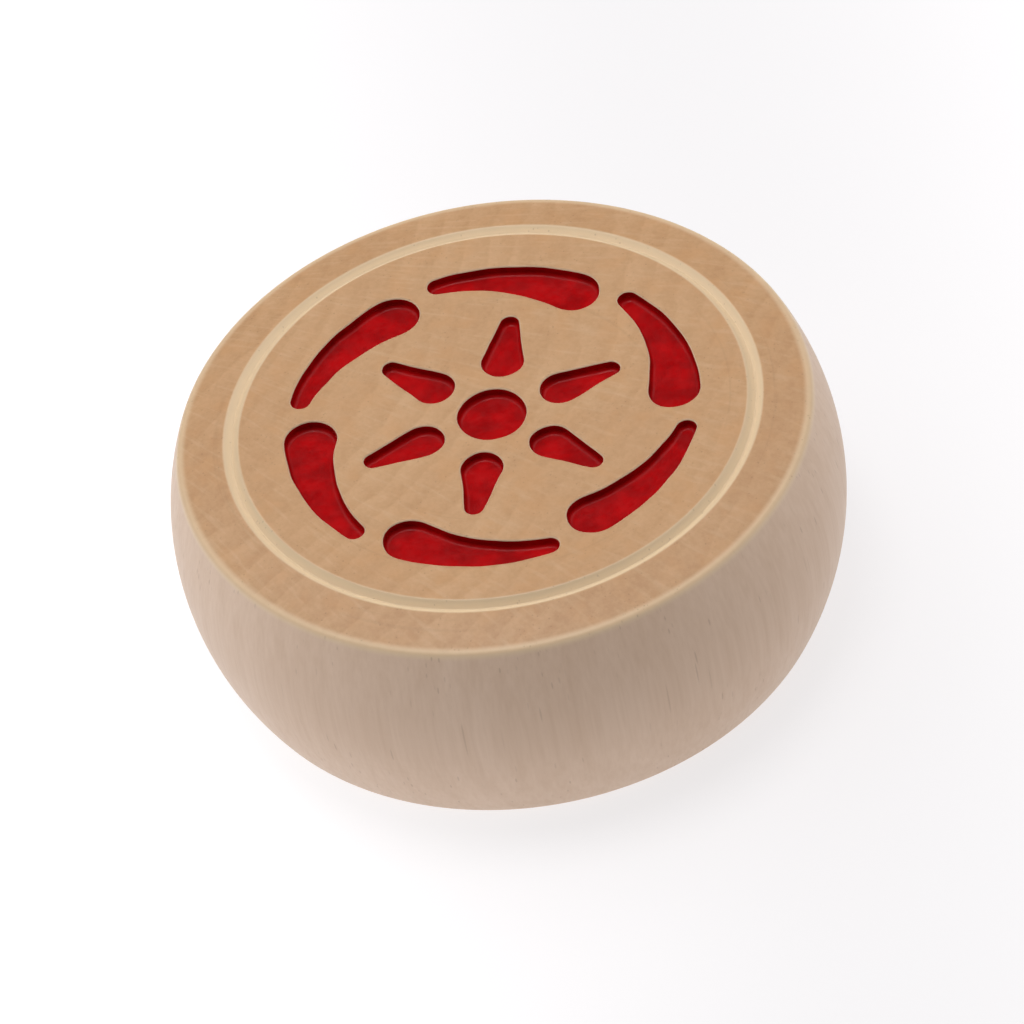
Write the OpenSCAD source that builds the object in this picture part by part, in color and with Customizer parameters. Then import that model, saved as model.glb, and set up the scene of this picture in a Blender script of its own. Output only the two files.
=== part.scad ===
// Xiangqi piece: a turned wooden disc with a carved and painted wheel mark on its field.
// It stands on the plane z = 0, centred on the Z axis, with the mark facing up.

/* [Disc] */
// Diameter across the belly, the widest place of the barrel wall
belly_d = 40; // [36:0.5:60]
// Height from the base to the field
disc_h = 15; // [12:0.25:24]
// Height of the belly above the base
belly_z = 8.2; // [5:0.1:11]
// How far the belly stands out past the top edge
edge_inset = 1.15; // [0.4:0.05:2.5]
// How far the belly stands out past the base edge
base_inset = 2.1; // [0.4:0.05:4]
// Bevel that breaks the base edge
base_break = 0.5; // [0.1:0.05:1.5]

/* [Rim] */
// Width of the sloping rim, from the middle of the ring groove to the top edge
rim_w = 3.3; // [1.5:0.1:5]
// How far the rim falls from the field to the top edge
rim_drop = 0.7; // [0.2:0.05:1.5]
// Bevel that breaks the top edge
edge_break = 0.35; // [0.1:0.05:0.8]
// Width of the turned ring groove round the field
groove_w = 0.9; // [0.3:0.05:2]
// Depth of the ring groove
groove_depth = 0.4; // [0.1:0.05:1.2]

/* [Mark] */
// Diameter of the mark across its felloes
mark_d = 25; // [21:0.5:27]
// Depth of the carved channels
carve_depth = 1.2; // [0.9:0.05:3]
// How far the paint lies below the field
paint_recess = 0.6; // [0.1:0.05:0.8]
// Turn of the mark about the axis, in degrees
mark_turn = 14; // [0:1:59]
// Number of spokes, and of felloes round them
spoke_n = 6; // [4:1:8]
// Bare wood between neighbouring strokes
stroke_gap = 0.8; // [0.5:0.05:1.4]
// Diameter of the hub
hub_d = 4.4; // [2.5:0.1:6]
// Width of a spoke at its inner end, beside the hub
spoke_inner_w = 2.8; // [1.2:0.1:3.4]
// Width of a spoke at its outer end, beside the felloes
spoke_outer_w = 1.4; // [0.8:0.1:2.4]
// Width of a felloe at its head
felloe_head_w = 3.4; // [1.4:0.1:4]
// Width of a felloe at its tail
felloe_tail_w = 1.5; // [0.8:0.1:2.4]

/* [Hidden] */
$fn = 96;
// Extra reach of every cut, so that it leaves no skin
overrun = 0.5;
// Points round the half circle at each end of a stroke
cap_n = 9;
// Points along a curved stroke
bend_n = 15;

belly_r = belly_d / 2;
edge_r = belly_r - edge_inset;
base_r = belly_r - base_inset;
edge_z = disc_h - rim_drop;
ring_r = edge_r - rim_w;

// The wall is one arc above the belly and one below it, both upright at the belly
upper_h = edge_z - belly_z;
upper_arc_r = (upper_h ^ 2 + edge_inset ^ 2) / (2 * edge_inset);
lower_arc_r = (belly_z ^ 2 + base_inset ^ 2) / (2 * base_inset);

// The felloes lie along the mark's outside, and the spokes reach from them to the hub, a gap short of both
mark_r = mark_d / 2;
spoke_outer_r = mark_r - felloe_head_w - stroke_gap - spoke_outer_w / 2;
spoke_inner_r = hub_d / 2 + stroke_gap + spoke_inner_w / 2;

// A felloe's round ends stop half a gap short of the line between it and its neighbour
pitch = 360 / spoke_n;
felloe_head_turn = asin((felloe_head_w + stroke_gap) / (mark_d - felloe_head_w));
felloe_tail_turn = asin((felloe_tail_w + stroke_gap) / (mark_d - felloe_tail_w));

wood_colour = [0.80, 0.64, 0.47];
paint_colour = [0.66, 0.05, 0.06];

SPOKES = [for (i = [1:spoke_n]) str("spoke_paint_", i)];
FELLOES = [for (i = [1:spoke_n]) str("felloe_paint_", i)];

function blend(a, b, t) = a + (b - a) * t;
function polar(r, turn) = r * [cos(turn), sin(turn)];

// Half of a circle, from start anticlockwise, as the round end of a stroke
function cap(centre, r, start) =
    [for (k = [0:cap_n]) centre + polar(r, start + 180 * k / cap_n)];

// Outline of a straight stroke along X, with round ends centred at inner_r and outer_r
function straight_stroke(inner_r, inner_w, outer_r, outer_w) =
    concat(cap([outer_r, 0], outer_w / 2, -90), cap([inner_r, 0], inner_w / 2, 90));

// Outline of a stroke bent round the axis, just within radius r, from its head to its tail
function bent_stroke(r, head_turn, head_w, tail_turn, tail_w) =
    let (
        steps = [for (k = [1:bend_n - 1]) k / bend_n],
        outer = [for (t = steps) polar(r, blend(head_turn, tail_turn, t))],
        inner = [for (t = steps) polar(r - blend(tail_w, head_w, t), blend(tail_turn, head_turn, t))]
    )
    concat(
        cap(polar(r - head_w / 2, head_turn), head_w / 2, head_turn + 180),
        outer,
        cap(polar(r - tail_w / 2, tail_turn), tail_w / 2, tail_turn),
        inner
    );

module hub_outline() {
    circle(d = hub_d);
}

module spoke_outline(i) {
    rotate(mark_turn + pitch * (i - 1))
        polygon(straight_stroke(spoke_inner_r, spoke_inner_w, spoke_outer_r, spoke_outer_w));
}

// Each felloe runs between the middles of two gaps, over the spoke of the same number
module felloe_outline(i) {
    rotate(mark_turn + pitch * (i - 1))
        polygon(bent_stroke(
            mark_r,
            felloe_head_turn - pitch / 2, felloe_head_w,
            pitch / 2 - felloe_tail_turn, felloe_tail_w
        ));
}

// Everything that is carved, in plan
module mark_outline() {
    hub_outline();
    for (i = [1:spoke_n]) {
        spoke_outline(i);
        felloe_outline(i);
    }
}

// One quarter of the barrel's section: an arc that leaves the belly upright, filled in to the axis
module wall_quarter(arc_r, h) {
    arc_x = belly_r - arc_r;
    intersection() {
        union() {
            translate([arc_x, 0]) circle(r = arc_r);
            if (arc_x > 0) square([arc_x, h]);
        }
        square([belly_r + overrun, h]);
    }
}

// Bevel cut at a section's corner: a right triangle whose long side leaves the given point at 45 degrees
module corner_cut(point, size, up) {
    reach = 2 * size + overrun;
    translate(point) polygon([[0, 0], [reach, -up * reach], [reach, 0]]);
}

// V-shaped cut as wide as the groove at the field, and reaching above it
module groove_cut() {
    translate([ring_r, disc_h - groove_depth])
        polygon([[0, 0], [groove_w, 2 * groove_depth], [-groove_w, 2 * groove_depth]]);
}

// Section of the turned blank, to the right of the axis
module disc_section() {
    difference() {
        union() {
            translate([0, belly_z]) wall_quarter(upper_arc_r, upper_h);
            translate([0, belly_z]) mirror([0, 1]) wall_quarter(lower_arc_r, belly_z);
            polygon([[0, edge_z], [edge_r, edge_z], [ring_r, disc_h], [0, disc_h]]);
        }
        groove_cut();
        corner_cut([edge_r - edge_break, edge_z + edge_break * rim_drop / rim_w], edge_break, 1);
        corner_cut([base_r - base_break, 0], base_break, -1);
    }
}

// The turned disc, with its carved channels
module wooden_disc() {
    color(wood_colour)
        difference() {
            rotate_extrude() disc_section();
            translate([0, 0, disc_h - carve_depth])
                linear_extrude(carve_depth + overrun) mark_outline();
        }
}

// Paint that fills a channel from its floor to just below the field
module paint_fill() {
    color(paint_colour)
        translate([0, 0, disc_h - carve_depth])
            linear_extrude(carve_depth - paint_recess) children();
}

module hub_paint() {
    paint_fill() hub_outline();
}

module spoke_paint(i) {
    paint_fill() spoke_outline(i);
}

module felloe_paint(i) {
    paint_fill() felloe_outline(i);
}

wooden_disc();
hub_paint();
for (i = [1:spoke_n]) {
    spoke_paint(i);
    felloe_paint(i);
}
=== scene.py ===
"""Looks of a turned wooden xiangqi piece: a barrel-sided disc with a carved, red-painted wheel mark."""
import math

import bmesh
import bpy
import numpy as np
from mathutils import Matrix, Vector, noise
from mathutils.geometry import delaunay_2d_cdt


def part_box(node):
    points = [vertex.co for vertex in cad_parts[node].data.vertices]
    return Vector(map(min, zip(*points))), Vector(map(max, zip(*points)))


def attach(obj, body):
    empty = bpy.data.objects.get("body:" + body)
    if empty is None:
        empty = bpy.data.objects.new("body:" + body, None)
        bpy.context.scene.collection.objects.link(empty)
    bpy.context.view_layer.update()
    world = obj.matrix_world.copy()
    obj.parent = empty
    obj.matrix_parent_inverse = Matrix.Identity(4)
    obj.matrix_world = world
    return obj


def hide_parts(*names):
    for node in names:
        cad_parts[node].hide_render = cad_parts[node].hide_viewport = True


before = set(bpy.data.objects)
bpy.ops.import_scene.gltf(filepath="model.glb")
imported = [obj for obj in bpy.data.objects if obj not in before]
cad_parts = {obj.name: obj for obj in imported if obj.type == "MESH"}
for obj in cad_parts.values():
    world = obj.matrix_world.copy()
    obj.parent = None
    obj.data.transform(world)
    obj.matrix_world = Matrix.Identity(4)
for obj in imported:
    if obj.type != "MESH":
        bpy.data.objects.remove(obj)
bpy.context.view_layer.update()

MM = 0.001

# Sizes of the disc, in metres: the box comes from the wooden disc in model.glb, the rest repeats the part's
# own values
disc_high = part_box("wooden_disc")[1]
BELLY_R = disc_high.x
DISC_H = disc_high.z
BELLY_Z = 8.2 * MM
EDGE_INSET = 1.15 * MM
BASE_INSET = 2.1 * MM
RIM_W = 3.3 * MM
RIM_DROP = 0.7 * MM
GROOVE_W = 0.9 * MM
GROOVE_DEPTH = 0.4 * MM
EDGE_R = BELLY_R - EDGE_INSET
BASE_R = BELLY_R - BASE_INSET
EDGE_Z = DISC_H - RIM_DROP
RING_R = EDGE_R - RIM_W

# Rounding that the finished surface has at its edges
BASE_ROUND = 0.8 * MM
EDGE_ROUND = 0.4 * MM
SHOULDER_ROUND = 0.2 * MM
GROOVE_ROUND = 0.12 * MM

# Sizes of the mark, which also repeat the part's own values
MARK_R = 12.5 * MM
CARVE_DEPTH = 1.2 * MM
MARK_TURN = 14
SPOKE_N = 6
STROKE_GAP = 0.8 * MM
HUB_D = 4.4 * MM
SPOKE_INNER_W = 2.8 * MM
SPOKE_OUTER_W = 1.4 * MM
FELLOE_HEAD_W = 3.4 * MM
FELLOE_TAIL_W = 1.5 * MM
SPOKE_OUTER_R = MARK_R - FELLOE_HEAD_W - STROKE_GAP - SPOKE_OUTER_W / 2
SPOKE_INNER_R = HUB_D / 2 + STROKE_GAP + SPOKE_INNER_W / 2
PITCH = 360 / SPOKE_N

# How finely the meshes are divided, and the angle in degrees past which an edge stays sharp
ROUND_STEPS = 256
WALL_STEPS = 16
FILLET_STEPS = 6
CAP_STEPS = 10
BEND_STEPS = 20
HUB_STEPS = 64
SHARP_ANGLE = 40

# The carved edge: how far its lip is broken, how far the wall leans in, and how far the knife strayed
LIP = 0.14 * MM
LIP_STEPS = 5
WALL_LEAN = 0.12 * MM
STRAY = 0.07 * MM
STRAY_PITCH = 1.6 * MM

# The flat strip kept round each channel, and the circle within which the field is filled in round them
STRIP_W = 0.06 * MM
FIELD_MARGIN = 0.9 * MM
FIELD_R = MARK_R + FIELD_MARGIN
MERGE_DISTANCE = 1e-9

# The coat of paint: how far its edge and its middle lie below the field, the fillet between them,
# its unevenness, and how far it keeps from the wood at its edge and down the wall
PAINT_EDGE = 0.08 * MM
PAINT_DEPTH = 0.62 * MM
PAINT_FILLET = 0.28 * MM
PAINT_WAVE = 0.03 * MM
PAINT_WAVE_PITCH = 2 * MM
PAINT_CLEAR = 0.004 * MM
PAINT_WALL_CLEAR = 0.012 * MM
FILM_STEPS = 7
FILM_SHRINKS = (0.35, 0.7, 0.95)


def blend(a, b, t):
    return a + (b - a) * t


def polar(radius, turn):
    return radius * np.array([math.cos(math.radians(turn)), math.sin(math.radians(turn))])


def srgb(red, green, blue):
    """A linear colour from the 0 to 255 values that a screen shows."""
    def linear(value):
        share = value / 255
        return share / 12.92 if share <= 0.04045 else ((share + 0.055) / 1.055) ** 2.4
    return linear(red), linear(green), linear(blue), 1.0


def stray(point):
    """How far the knife strayed from the drawn outline at a point of it."""
    return STRAY * noise.noise(Vector((*point, 0)) / STRAY_PITCH)


def stroke(spine, length, head_w, tail_w):
    """A carved stroke's outline, anticlockwise from the tip of its head, as centres on the spine,
    directions from it and half widths. spine(t) gives the centre and heading from the head, t = 0,
    to the tail, t = 1. The sides touch both round ends."""
    rows = []
    side = math.degrees(math.acos((head_w - tail_w) / (2 * length)))

    def add(t, turn):
        centre, heading = spine(t)
        way = polar(1, heading + turn)
        half = blend(head_w, tail_w, t) / 2
        rows.append((centre, way, half + stray(centre + way * half)))

    for k in range(CAP_STEPS + 1):
        add(0, blend(180, 360 - side, k / CAP_STEPS))
    for k in range(1, BEND_STEPS):
        add(k / BEND_STEPS, -side)
    for k in range(2 * CAP_STEPS + 1):
        add(1, blend(-side, side, k / (2 * CAP_STEPS)))
    for k in range(1, BEND_STEPS):
        add(1 - k / BEND_STEPS, side)
    for k in range(CAP_STEPS):
        add(0, blend(side, 180, k / CAP_STEPS))
    return [np.array(column) for column in zip(*rows)]


def dot(diameter):
    """The outline of a round dot at the axis, in the same form as a stroke's."""
    ways = np.array([polar(1, 360 * k / HUB_STEPS) for k in range(HUB_STEPS)])
    halves = np.array([diameter / 2 + stray(way * diameter / 2) for way in ways])
    return [np.zeros_like(ways), ways, halves]


def spoke(turn):
    """A straight stroke that tapers outwards."""
    def spine(t):
        return polar(blend(SPOKE_INNER_R, SPOKE_OUTER_R, t), turn), turn
    return stroke(spine, SPOKE_OUTER_R - SPOKE_INNER_R, SPOKE_INNER_W, SPOKE_OUTER_W)


def felloe(turn):
    """A curved stroke whose outside lies on the mark's circle."""
    def reach(width):
        return math.degrees(math.asin((width + STROKE_GAP) / (2 * MARK_R - width)))
    head = reach(FELLOE_HEAD_W) - PITCH / 2
    tail = PITCH / 2 - reach(FELLOE_TAIL_W)
    rise = (FELLOE_HEAD_W - FELLOE_TAIL_W) / 2
    run = math.radians(tail - head) * (MARK_R - (FELLOE_HEAD_W + FELLOE_TAIL_W) / 4)

    def spine(t):
        at = turn + blend(head, tail, t)
        heading = at + 90 - math.degrees(math.atan(rise / run))
        return polar(MARK_R - blend(FELLOE_HEAD_W, FELLOE_TAIL_W, t) / 2, at), heading
    return stroke(spine, math.hypot(rise, run), FELLOE_HEAD_W, FELLOE_TAIL_W)


def ring(outline, offset, shrink=0.0):
    """The outline moved in by offset, then drawn towards its spine by a share of what is left."""
    centres, ways, halves = outline
    return centres + ways * ((halves - offset) * (1 - shrink))[:, None]


TURNS = [MARK_TURN + PITCH * i for i in range(SPOKE_N)]
STROKES = {"hub_paint": dot(HUB_D)}
STROKES |= {f"spoke_paint_{i + 1}": spoke(turn) for i, turn in enumerate(TURNS)}
STROKES |= {f"felloe_paint_{i + 1}": felloe(turn) for i, turn in enumerate(TURNS)}


class Shell:
    """A mesh put together from rings of points."""

    def __init__(self):
        self.mesh = bmesh.new()

    def loop(self, points):
        return [self.mesh.verts.new(p) for p in points]

    def skin(self, a, b):
        """Quads between two loops of the same length."""
        for k in range(len(a)):
            n = (k + 1) % len(a)
            self.mesh.faces.new((a[k], a[n], b[n], b[k]))

    def floor(self, loop, up=True):
        """Fills a stroke's loop, which starts at a tip, with faces from side to side of the stroke."""
        count = len(loop)
        for k in range(count // 2):
            four = [loop[k], loop[k + 1], loop[-k - 1], loop[-k % count]]
            four = list(dict.fromkeys(four))
            self.mesh.faces.new(four if up else four[::-1])

    def object(self, name):
        bmesh.ops.recalc_face_normals(self.mesh, faces=self.mesh.faces)
        data = bpy.data.meshes.new(name)
        self.mesh.to_mesh(data)
        self.mesh.free()
        data.shade_smooth()
        data.set_sharp_from_angle(angle=math.radians(SHARP_ANGLE))
        made = bpy.data.objects.new(name, data)
        bpy.context.scene.collection.objects.link(made)
        return made


def rounded(corners):
    """A section's polyline from (point, radius) corners, with an arc at each corner that has a radius."""
    line = []
    for i, (point, radius) in enumerate(corners):
        p = np.array(point)
        if not radius:
            line.append(p)
            continue
        before, after = (np.array(corners[k][0]) - p for k in (i - 1, i + 1))
        before = before / np.linalg.norm(before)
        after = after / np.linalg.norm(after)
        half = math.acos(np.clip(before @ after, -1, 1)) / 2
        middle = (before + after) / np.linalg.norm(before + after)
        centre = p + middle * radius / math.sin(half)
        reach = radius / math.tan(half)
        first = p + before * reach - centre
        last = p + after * reach - centre
        span = math.acos(np.clip(first @ last / radius**2, -1, 1))
        for k in range(FILLET_STEPS + 1):
            turn = span * k / FILLET_STEPS
            arm = first * math.sin(span - turn) + last * math.sin(turn)
            line.append(centre + arm / math.sin(span))
    return line


def disc_section():
    """The disc's section as (radius, height) points, from the base up the wall and in to the field."""
    upper_h = EDGE_Z - BELLY_Z
    lower_arc_r = (BELLY_Z**2 + BASE_INSET**2) / (2 * BASE_INSET)
    upper_arc_r = (upper_h**2 + EDGE_INSET**2) / (2 * EDGE_INSET)
    low = math.asin(-BELLY_Z / lower_arc_r)
    high = math.asin(upper_h / upper_arc_r)

    def on_wall(arc_r, turn):
        return BELLY_R - arc_r + arc_r * math.cos(turn), BELLY_Z + arc_r * math.sin(turn)

    shoulder = RING_R + GROOVE_W / 2
    corners = [((BASE_R / 2, 0), 0), ((BASE_R, 0), BASE_ROUND)]
    corners += [(on_wall(lower_arc_r, low * (1 - k / WALL_STEPS)), 0) for k in range(1, WALL_STEPS)]
    corners += [(on_wall(upper_arc_r, high * k / WALL_STEPS), 0) for k in range(WALL_STEPS)]
    corners += [
        ((EDGE_R, EDGE_Z), EDGE_ROUND),
        ((shoulder, DISC_H - RIM_DROP * GROOVE_W / 2 / RIM_W), SHOULDER_ROUND),
        ((RING_R, DISC_H - GROOVE_DEPTH), GROOVE_ROUND),
        ((RING_R - GROOVE_W / 2, DISC_H), SHOULDER_ROUND),
        ((FIELD_R, DISC_H), 0),
    ]
    return rounded(corners)


def channel_offset(depth):
    """How far a channel's side has come in from the drawn outline at a depth below the field."""
    if depth < LIP:
        return math.sqrt(LIP**2 - (LIP - depth) ** 2)
    return LIP + WALL_LEAN * (depth - LIP) / (CARVE_DEPTH - LIP)


def carve(shell, outline):
    """A channel's lip, walls and floor. Returns the loop of the flat strip that joins it to the field."""
    def at(offset, depth):
        return shell.loop([(x, y, DISC_H - depth) for x, y in ring(outline, offset)])

    strip = at(-STRIP_W, 0)
    above = strip
    depths = [LIP * (1 - math.cos(math.pi / 2 * k / LIP_STEPS)) for k in range(LIP_STEPS + 1)]
    for depth in [*depths, CARVE_DEPTH]:
        below = at(channel_offset(depth), depth)
        shell.skin(above, below)
        above = below
    shell.floor(above)
    return strip


def inside(corners, hole, flat):
    """True if the middle of the corners lies within the closed loop of points."""
    x, y = sum((flat[k] for k in corners), Vector((0, 0))) / len(corners)
    crossings = 0
    for k in hole:
        a = flat[k]
        b = flat[k + 1 if k + 1 in hole else hole.start]
        if (a.y > y) != (b.y > y) and x < a.x + (y - a.y) / (b.y - a.y) * (b.x - a.x):
            crossings += 1
    return crossings % 2 == 1


def field(shell, edge, strips):
    """Flat faces between the field's edge and the strips round the channels."""
    verts, bonds, holes = [], [], []
    for loop in [edge, *strips]:
        first = len(verts)
        verts += loop
        bonds += [(first + k, first + (k + 1) % len(loop)) for k in range(len(loop))]
        holes.append(range(first, len(verts)))
    flat = [Vector(v.co[:2]) for v in verts]
    _, _, faces, sources, _, _ = delaunay_2d_cdt(flat, bonds, [], 1, MERGE_DISTANCE)
    loop_of = {k: n for n, hole in enumerate(holes) for k in hole}
    for face in faces:
        corners = [sources[k][0] for k in face]
        owners = {loop_of[k] for k in corners}
        if len(owners) == 1 and 0 not in owners and inside(corners, holes[owners.pop()], flat):
            continue
        shell.mesh.faces.new([verts[k] for k in corners])


def turned_disc():
    shell = Shell()
    loops = [
        shell.loop([(*polar(r, 360 * k / ROUND_STEPS), z) for k in range(ROUND_STEPS)])
        for r, z in disc_section()
    ]
    for a, b in zip(loops, loops[1:]):
        shell.skin(a, b)
    middle = shell.mesh.verts.new((0, 0, 0))
    for k in range(ROUND_STEPS):
        shell.mesh.faces.new((loops[0][k - 1], loops[0][k], middle))
    field(shell, loops[-1], [carve(shell, outline) for outline in STROKES.values()])
    return shell.object("turned_disc")


def paint_film(name, outline):
    """A coat of paint in its channel: thin up the walls, pooled along the middle, and closed underneath."""
    shell = Shell()

    def at(offset, depth, shrink=0.0, wave=0.0):
        def height(x, y):
            return DISC_H - depth + wave * noise.noise(Vector((x, y, 0)) / PAINT_WAVE_PITCH)
        return shell.loop([(x, y, height(x, y)) for x, y in ring(outline, offset, shrink)])

    edge = at(channel_offset(PAINT_EDGE) + PAINT_CLEAR, PAINT_EDGE)
    above = edge
    fillet_top = PAINT_DEPTH - PAINT_FILLET
    for depth in (LIP, fillet_top):
        below = at(channel_offset(depth) + PAINT_WALL_CLEAR, depth)
        shell.skin(above, below)
        above = below
    for k in range(1, FILM_STEPS + 1):
        turn = math.pi / 2 * k / FILM_STEPS
        depth = PAINT_DEPTH - PAINT_FILLET * (1 - math.sin(turn))
        offset = channel_offset(fillet_top) + PAINT_FILLET * (1 - math.cos(turn))
        below = at(offset, depth, wave=PAINT_WAVE * k / FILM_STEPS)
        shell.skin(above, below)
        above = below
    for shrink in FILM_SHRINKS:
        below = at(offset, PAINT_DEPTH, shrink, PAINT_WAVE)
        shell.skin(above, below)
        above = below
    shell.floor(above)
    foot = at(channel_offset(CARVE_DEPTH) + PAINT_CLEAR, CARVE_DEPTH - PAINT_CLEAR)
    shell.skin(foot, edge)
    shell.floor(foot, up=False)
    return shell.object(name)


class Finish:
    """A procedural material, with short ways to add its nodes."""

    def __init__(self, name):
        self.material = bpy.data.materials.new(name)
        self.material.use_nodes = True
        self.tree = self.material.node_tree
        self.shader = self.tree.nodes["Principled BSDF"]

    def put(self, socket, value):
        if isinstance(value, bpy.types.NodeSocket):
            self.tree.links.new(value, socket)
        else:
            socket.default_value = value

    def dress(self, **looks):
        """Sets the shader's sockets, named with underscores, to values or to nodes' outputs."""
        for name, value in looks.items():
            self.put(self.shader.inputs[name.replace("_", " ")], value)

    def add(self, kind, inputs, output=0, **settings):
        node = self.tree.nodes.new(kind)
        for name, value in settings.items():
            setattr(node, name, value)
        for name, value in inputs.items():
            self.put(node.inputs[name], value)
        return node.outputs[output]

    def maths(self, operation, a, b=0.0, clamp=False):
        return self.add("ShaderNodeMath", {0: a, 1: b}, operation=operation, use_clamp=clamp)

    def times(self, a, b):
        return self.maths("MULTIPLY", a, b)

    def plus(self, a, b, clamp=False):
        return self.maths("ADD", a, b, clamp)

    def apart(self, a, b):
        return self.maths("ABSOLUTE", self.maths("SUBTRACT", a, b))

    def vector(self, operation, a, b=(0, 0, 0), output=0):
        return self.add("ShaderNodeVectorMath", {0: a, 1: b}, output, operation=operation)

    def length(self, vector):
        return self.vector("LENGTH", vector, output=1)

    def join(self, x, y, z):
        return self.add("ShaderNodeCombineXYZ", {0: x, 1: y, 2: z})

    def split(self, vector):
        node = self.tree.nodes.new("ShaderNodeSeparateXYZ")
        self.put(node.inputs[0], vector)
        return node.outputs

    def noise(self, vector, scale=1.0, detail=2.0, rough=0.5):
        inputs = {"Vector": vector, "Scale": scale, "Detail": detail, "Roughness": rough}
        return self.add("ShaderNodeTexNoise", inputs)

    def grain(self, at, cells, detail=2.0, rough=0.5):
        """Noise with so many cells to a millimetre along X, Y and Z."""
        return self.noise(self.vector("MULTIPLY", at, cells), 1.0, detail, rough)

    def span(self, value, low, high, to_low=0.0, to_high=1.0):
        """Maps low..high smoothly to to_low..to_high, held at the ends."""
        inputs = {0: value, 1: low, 2: high, 3: to_low, 4: to_high}
        return self.add("ShaderNodeMapRange", inputs, interpolation_type="SMOOTHSTEP")

    def mix(self, share, a, b):
        return self.add("ShaderNodeMix", {0: share, 6: a, 7: b}, 2, data_type="RGBA")

    def bump(self, height, distance, strength):
        inputs = {"Strength": strength, "Distance": distance, "Height": height}
        return self.add("ShaderNodeBump", inputs)

    def place_mm(self):
        where = self.add("ShaderNodeTexCoord", {}, "Object")
        return self.add("ShaderNodeVectorMath", {0: where, "Scale": 1 / MM}, operation="SCALE")


# Colours of the wood, by the way that its fibres are cut, of its fresh cuts, which also carry a painted
# highlight, of its pores, which also give the groove its painted shade, and of the paint
END_GRAIN = srgb(221, 178, 135)
END_GRAIN_DARK = srgb(201, 155, 112)
END_GRAIN_WARM = srgb(217, 165, 116)
SIDE_GRAIN = srgb(235, 206, 181)
SIDE_GRAIN_DARK = srgb(221, 189, 161)
PALE_CUT_AND_HIGHLIGHT = srgb(243, 217, 180)
PORE_AND_SHADE = srgb(128, 88, 56)
PAINT = srgb(191, 5, 11)
PAINT_DARK = srgb(156, 3, 7)

# Where the tree's middle lies beside the piece, how wide its year rings are and how far they waver,
# in millimetres, how many rays a radian holds, and how often a ray breaks off in a millimetre
PITH = (-31.0, 24.0, 0.0)
YEAR_RING = 1.7
RING_WAVER = 5.0
RAY_COUNT = 105
RAY_BREAKS = 0.35

# Cells of the wood's noise to a millimetre along X, Y and Z, drawn out along the fibres
WAVER_CELLS = (0.09, 0.09, 0.02)
FIBRE_CELLS = (4.0, 4.0, 0.1)
STREAK_CELLS = (1.3, 1.3, 0.03)
PATCH_CELLS = (0.16, 0.16, 0.03)
MOTTLE_CELLS = (0.45, 0.45, 0.06)
PORE_CELLS = (2.9, 2.9, 0.09)
PORE_PATCH_CELLS = (0.9, 0.9, 0.05)

# Lines that the turning tool left, to a millimetre, on the faces and on the wall, and their drift across
FACE_LINES = 1.9
WALL_LINES = 2.4
LINE_DRIFT = 0.04

# Where the pale cut and its painted highlight show, in millimetres: within which distances of the groove's
# middle and of the top edge it fades in, how wide the groove's dark foot of painted shade is, and where the
# middle of the edge lies
GROOVE_FADE = (0.62 * GROOVE_W / MM, 0.42 * GROOVE_W / MM)
GROOVE_SHADE = 0.16 * GROOVE_W / MM
EDGE_FADE = (0.5, 0.12)
EDGE_MIDDLE = (EDGE_R / MM - 0.1, 0, EDGE_Z / MM)

# How strongly each of these shows in the wood's colour: the pale lines are partly painted highlight, and
# the groove's dark foot is painted shade
GROOVE_PALE = 0.95
EDGE_PALE = 0.6
LIP_PALE = 0.8
RAY_PALE = 0.12
RIM_TONE = 0.2
GROOVE_SHADE_DARK = 0.15
TOOL_LINE_DARK = 0.08
PORE_DARK = 0.2

# How deep the finest marks look in the wood and in the paint
WOOD_RELIEF = 0.03 * MM
PAINT_RELIEF = 0.04 * MM


def year_rings(finish, at):
    """The dark late wood of each year, and the pale rays that run out from the pith across the rings."""
    x, y, _ = finish.split(at)
    from_pith = finish.vector("SUBTRACT", finish.join(x, y, 0.0), PITH)
    waver = finish.times(finish.grain(at, WAVER_CELLS, 3), RING_WAVER)
    radius = finish.plus(finish.length(from_pith), waver)
    phase = finish.maths("FRACT", finish.maths("DIVIDE", radius, YEAR_RING))
    late = finish.times(finish.span(phase, 0.1, 0.85), finish.span(phase, 1.0, 0.88))
    pith_x, pith_y, _ = finish.split(from_pith)
    turn = finish.times(finish.maths("ARCTAN2", pith_y, pith_x), RAY_COUNT)
    ray_at = finish.join(turn, finish.times(radius, RAY_BREAKS), 0.0)
    return late, finish.span(finish.noise(ray_at), 0.5, 0.72)


def pores(finish, at):
    """Fine dark pores along the fibres, in patches."""
    pore_at = finish.vector("MULTIPLY", at, PORE_CELLS)
    from_pore = finish.add("ShaderNodeTexVoronoi", {"Vector": pore_at, "Scale": 1.0})
    here = finish.span(finish.grain(at, PORE_PATCH_CELLS, 1), 0.42, 0.62)
    return finish.times(finish.span(from_pore, 0.2, 0.1), here)


def tool_lines(finish, at, from_axis):
    """Marks of the turning tool: rings on the faces, and fine lines round the wall."""
    x, y, z = finish.split(at)
    drift = finish.times(x, LINE_DRIFT), finish.times(y, LINE_DRIFT)
    face = finish.noise(finish.join(finish.times(from_axis, FACE_LINES), *drift), 1.0, 3, 0.6)
    wall = finish.noise(finish.join(finish.times(z, WALL_LINES), *drift), 1.0, 3, 0.6)
    return face, wall


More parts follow.
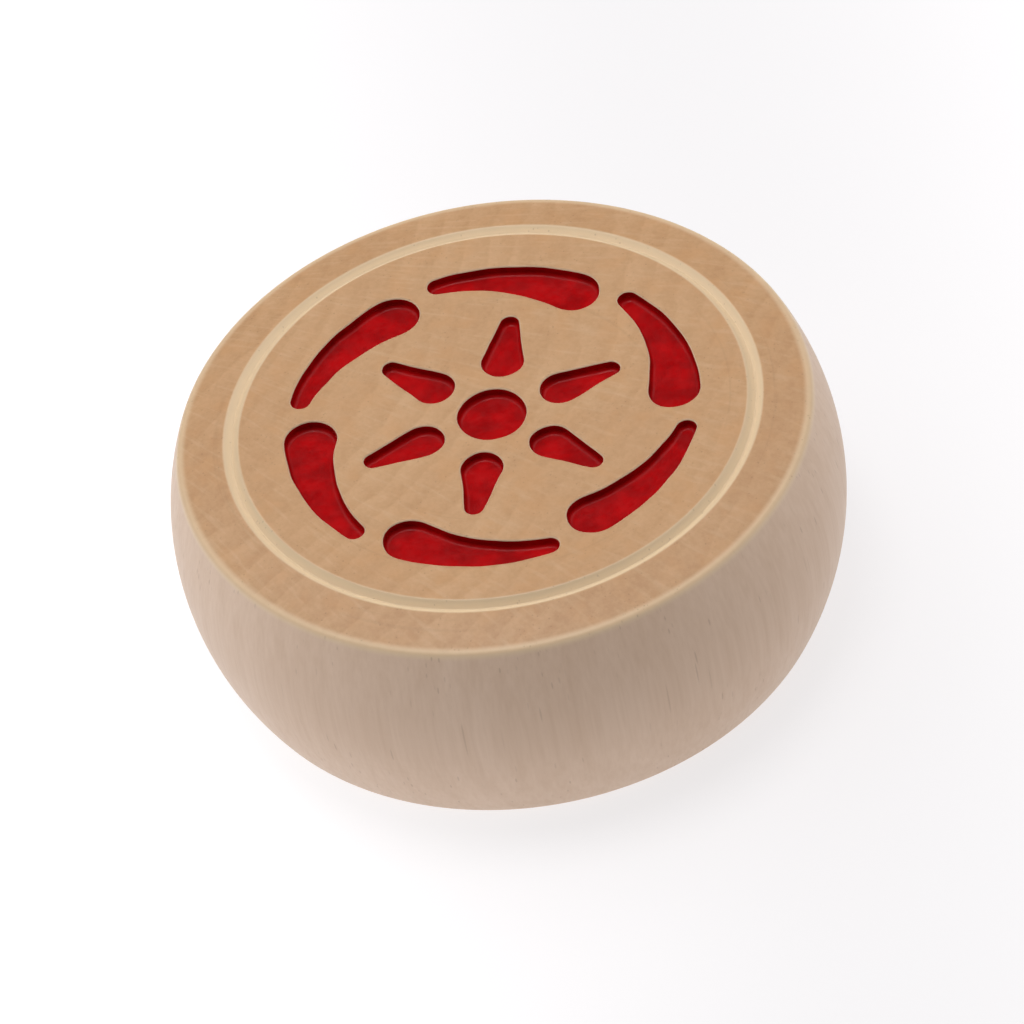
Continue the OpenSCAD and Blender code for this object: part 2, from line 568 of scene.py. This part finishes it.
def pale_cuts_and_highlights(finish, z, from_axis, from_ring, on_top):
    """How far the tool cut through the darker skin, together with a painted highlight on the same places:
    in the groove, along the top edge and at the lips.
    """
    groove = finish.times(finish.span(from_ring, *GROOVE_FADE), on_top)
    from_edge = finish.vector("SUBTRACT", finish.join(from_axis, 0.0, z), EDGE_MIDDLE)
    edge = finish.span(finish.length(from_edge), *EDGE_FADE)
    in_field = finish.times(finish.span(from_axis, RING_R / MM, FIELD_R / MM), on_top)
    lip = finish.span(z, (DISC_H - PAINT_EDGE / 10) / MM, (DISC_H - PAINT_EDGE / 2) / MM)
    lip = finish.times(lip, in_field)
    # The pale lines are partly the fresh cut wood and partly a painted highlight
    cut_and_highlight = finish.maths("MAXIMUM", finish.times(groove, GROOVE_PALE), finish.times(edge, EDGE_PALE))
    return finish.maths("MAXIMUM", cut_and_highlight, finish.times(lip, LIP_PALE))


def wood():
    """Lacquered wood with its fibres running up the piece, so that the faces show darker end grain."""
    finish = Finish("lacquered_wood")
    at = finish.place_mm()
    x, y, z = finish.split(at)
    from_axis = finish.length(finish.join(x, y, 0.0))
    from_ring = finish.apart(from_axis, RING_R / MM)
    on_top = finish.span(z, (EDGE_Z - RIM_DROP) / MM, EDGE_Z / MM)
    on_rim = finish.times(finish.span(from_axis, RING_R / MM, (RING_R + GROOVE_W) / MM), on_top)
    facing = finish.split(finish.add("ShaderNodeTexCoord", {}, "Normal"))[2]
    end_grain = finish.span(finish.maths("ABSOLUTE", facing), 0.5, 0.97)

    late, ray = year_rings(finish, at)
    fibre = finish.grain(at, FIBRE_CELLS, 4, 0.62)
    streak = finish.grain(at, STREAK_CELLS)
    patch = finish.grain(at, PATCH_CELLS)
    mottle = finish.grain(at, MOTTLE_CELLS, 3, 0.6)
    pore = pores(finish, at)
    face_lines, wall_lines = tool_lines(finish, at, from_axis)

    # How dark the wood is, which differs less on its sides than on its ends
    tone = finish.times(finish.span(fibre, 0.3, 0.72), 0.3)
    tone = finish.plus(tone, finish.times(finish.span(patch, 0.3, 0.7), 0.35))
    tone = finish.plus(tone, finish.times(finish.span(streak, 0.4, 0.7), 0.2))
    late = finish.times(late, finish.span(patch, 0.35, 0.65, 1.0, 0.35))
    side_tone = finish.plus(tone, finish.times(late, 0.15), clamp=True)
    end_tone = finish.plus(tone, finish.times(late, 0.34), clamp=True)
    end_tone = finish.plus(end_tone, finish.times(on_rim, RIM_TONE))

    # Colour, from the wood itself to the marks on it
    end_colour = finish.mix(end_tone, END_GRAIN, END_GRAIN_DARK)
    end_colour = finish.mix(finish.span(mottle, 0.45, 0.7, 0.0, 0.4), end_colour, END_GRAIN_WARM)
    end_colour = finish.mix(finish.times(ray, RAY_PALE), end_colour, PALE_CUT_AND_HIGHLIGHT)
    side_colour = finish.mix(side_tone, SIDE_GRAIN, SIDE_GRAIN_DARK)
    colour = finish.mix(end_grain, side_colour, end_colour)
    # Pale cut wood with a painted highlight in the groove, along the top edge and at the lips
    colour = finish.mix(pale_cuts_and_highlights(finish, z, from_axis, from_ring, on_top), colour, PALE_CUT_AND_HIGHLIGHT)
    # Painted shade: the foot of the groove darkened with the pore colour
    groove_shade = finish.times(finish.span(from_ring, GROOVE_SHADE, 0.0), on_top)
    colour = finish.mix(finish.times(groove_shade, GROOVE_SHADE_DARK), colour, PORE_AND_SHADE)
    line = finish.times(finish.span(face_lines, 0.6, 0.75), end_grain)
    colour = finish.mix(finish.times(line, TOOL_LINE_DARK), colour, PORE_AND_SHADE)
    colour = finish.mix(finish.times(pore, PORE_DARK), colour, PORE_AND_SHADE)

    # Sheen and surface
    rough = finish.plus(finish.span(fibre, 0.25, 0.75, 0.42, 0.54), finish.times(pore, 0.12))
    lines = finish.add("ShaderNodeMix", {0: end_grain, 2: wall_lines, 3: face_lines})
    height = finish.maths("SUBTRACT", finish.times(lines, 0.9), finish.times(pore, 0.5))
    height = finish.plus(height, finish.times(fibre, 0.35))
    finish.dress(Base_Color=colour, Roughness=rough, Normal=finish.bump(height, WOOD_RELIEF, 0.6))
    finish.dress(Specular_IOR_Level=0.35, Coat_Weight=0.1, Coat_Roughness=0.3)
    return finish.material


def paint():
    """Deep red paint, clouded where it lies thicker."""
    finish = Finish("red_paint")
    at = finish.place_mm()
    cloud = finish.noise(at, 0.55, 3, 0.55)
    grain = finish.noise(at, 2.6, 3, 0.6)
    colour = finish.mix(finish.span(cloud, 0.3, 0.7), PAINT, PAINT_DARK)
    rough = finish.span(grain, 0.3, 0.7, 0.28, 0.44)
    finish.dress(Base_Color=colour, Roughness=rough, Normal=finish.bump(grain, PAINT_RELIEF, 0.5))
    finish.dress(Specular_IOR_Level=0.12)
    return finish.material


# A lit table: much of the floor's brightness is its own, so that it lights the wall from below.
# It is dimmest along a line to the right of the piece, and brighter to both sides, in millimetres
FLOOR_SIZE = 4
FLOOR_SHADES = (srgb(124, 122, 124), srgb(128, 126, 128))
FLOOR_ROUGHNESS = 0.6
FLOOR_LIGHT = (1.0, 0.99, 1.0, 1.0)
FLOOR_GLOW = 0.74
FLOOR_GLOW_ASIDE = 1.25
FLOOR_DIM_X = 15.0
FLOOR_ASIDE = 90.0


def pale_floor():
    finish = Finish("pale_floor")
    at = finish.place_mm()
    colour = finish.mix(finish.noise(at, 0.03, 3), *FLOOR_SHADES)
    aside = finish.apart(finish.split(at)[0], FLOOR_DIM_X)
    glow = finish.span(aside, 0.0, FLOOR_ASIDE, FLOOR_GLOW, FLOOR_GLOW_ASIDE)
    finish.dress(Base_Color=colour, Roughness=FLOOR_ROUGHNESS)
    finish.dress(Emission_Color=FLOOR_LIGHT, Emission_Strength=glow)
    return finish.material


def lay_floor():
    bpy.ops.mesh.primitive_plane_add(size=FLOOR_SIZE)
    floor = bpy.context.object
    floor.name = "floor"
    floor.data.materials.append(pale_floor())


def dress():
    disc = turned_disc()
    disc.data.materials.append(wood())
    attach(disc, "root")
    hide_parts("wooden_disc")
    red = paint()
    for node, outline in STROKES.items():
        film = paint_film(f"{node}_film", outline)
        film.data.materials.append(red)
        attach(film, "root")
        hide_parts(node)


# The photograph's view of the piece: how high it is seen from, how far it leans left, from how far,
# and how much of the frame its diameter takes
VIEW_ELEVATION = 44.6
VIEW_LEAN = 11.5
VIEW_DISTANCE = 0.62
FRAME_SHARE = 0.66
SENSOR_W = 36.0
CLIP_START = 0.01
AIM_SHARE = 0.45
AIM = Vector((0, 0, AIM_SHARE * DISC_H))


def aim(thing, target, roll=0.0):
    way = (target - thing.location).to_track_quat("-Z", "Y").to_matrix()
    thing.rotation_euler = (way @ Matrix.Rotation(math.radians(roll), 3, "Z")).to_euler()


def place_camera():
    data = bpy.data.cameras.new("camera")
    camera = bpy.data.objects.new("camera", data)
    bpy.context.scene.collection.objects.link(camera)
    rise = math.radians(VIEW_ELEVATION)
    camera.location = AIM + VIEW_DISTANCE * Vector((0, -math.cos(rise), math.sin(rise)))
    aim(camera, AIM, -VIEW_LEAN)
    data.sensor_width = SENSOR_W
    data.lens = SENSOR_W * VIEW_DISTANCE * FRAME_SHARE / (2 * BELLY_R)
    data.clip_start = CLIP_START
    bpy.context.scene.camera = camera


# The studio's round lamps, as place, diameter and power, and its weak sky
LAMPS = {
    "back_left": ((-0.45, 0.35, 0.75), 0.8, 2.8),
    "back_right": ((0.5, 0.35, 0.75), 0.8, 2.7),
    "top": ((-0.05, 0.1, 0.9), 0.4, 3.1),
}
LAMP_TINT = (1.0, 0.99, 0.98)
SKY_TINT = (0.95, 0.97, 1.0, 1.0)
SKY_STRENGTH = 0.05


def lamp(name, place, size, watts):
    data = bpy.data.lights.new(name, "AREA")
    data.shape = "DISK"
    data.size = size
    data.energy = watts
    data.color = LAMP_TINT
    made = bpy.data.objects.new(name, data)
    made.location = place
    aim(made, AIM)
    bpy.context.scene.collection.objects.link(made)


def light_scene():
    for name, values in LAMPS.items():
        lamp(name, *values)
    world = bpy.data.worlds.new("studio")
    world.use_nodes = True
    sky = world.node_tree.nodes["Background"]
    sky.inputs["Color"].default_value = SKY_TINT
    sky.inputs["Strength"].default_value = SKY_STRENGTH
    bpy.context.scene.world = world
    bpy.context.scene.view_settings.view_transform = "Standard"


place_camera()
light_scene()
lay_floor()
dress()
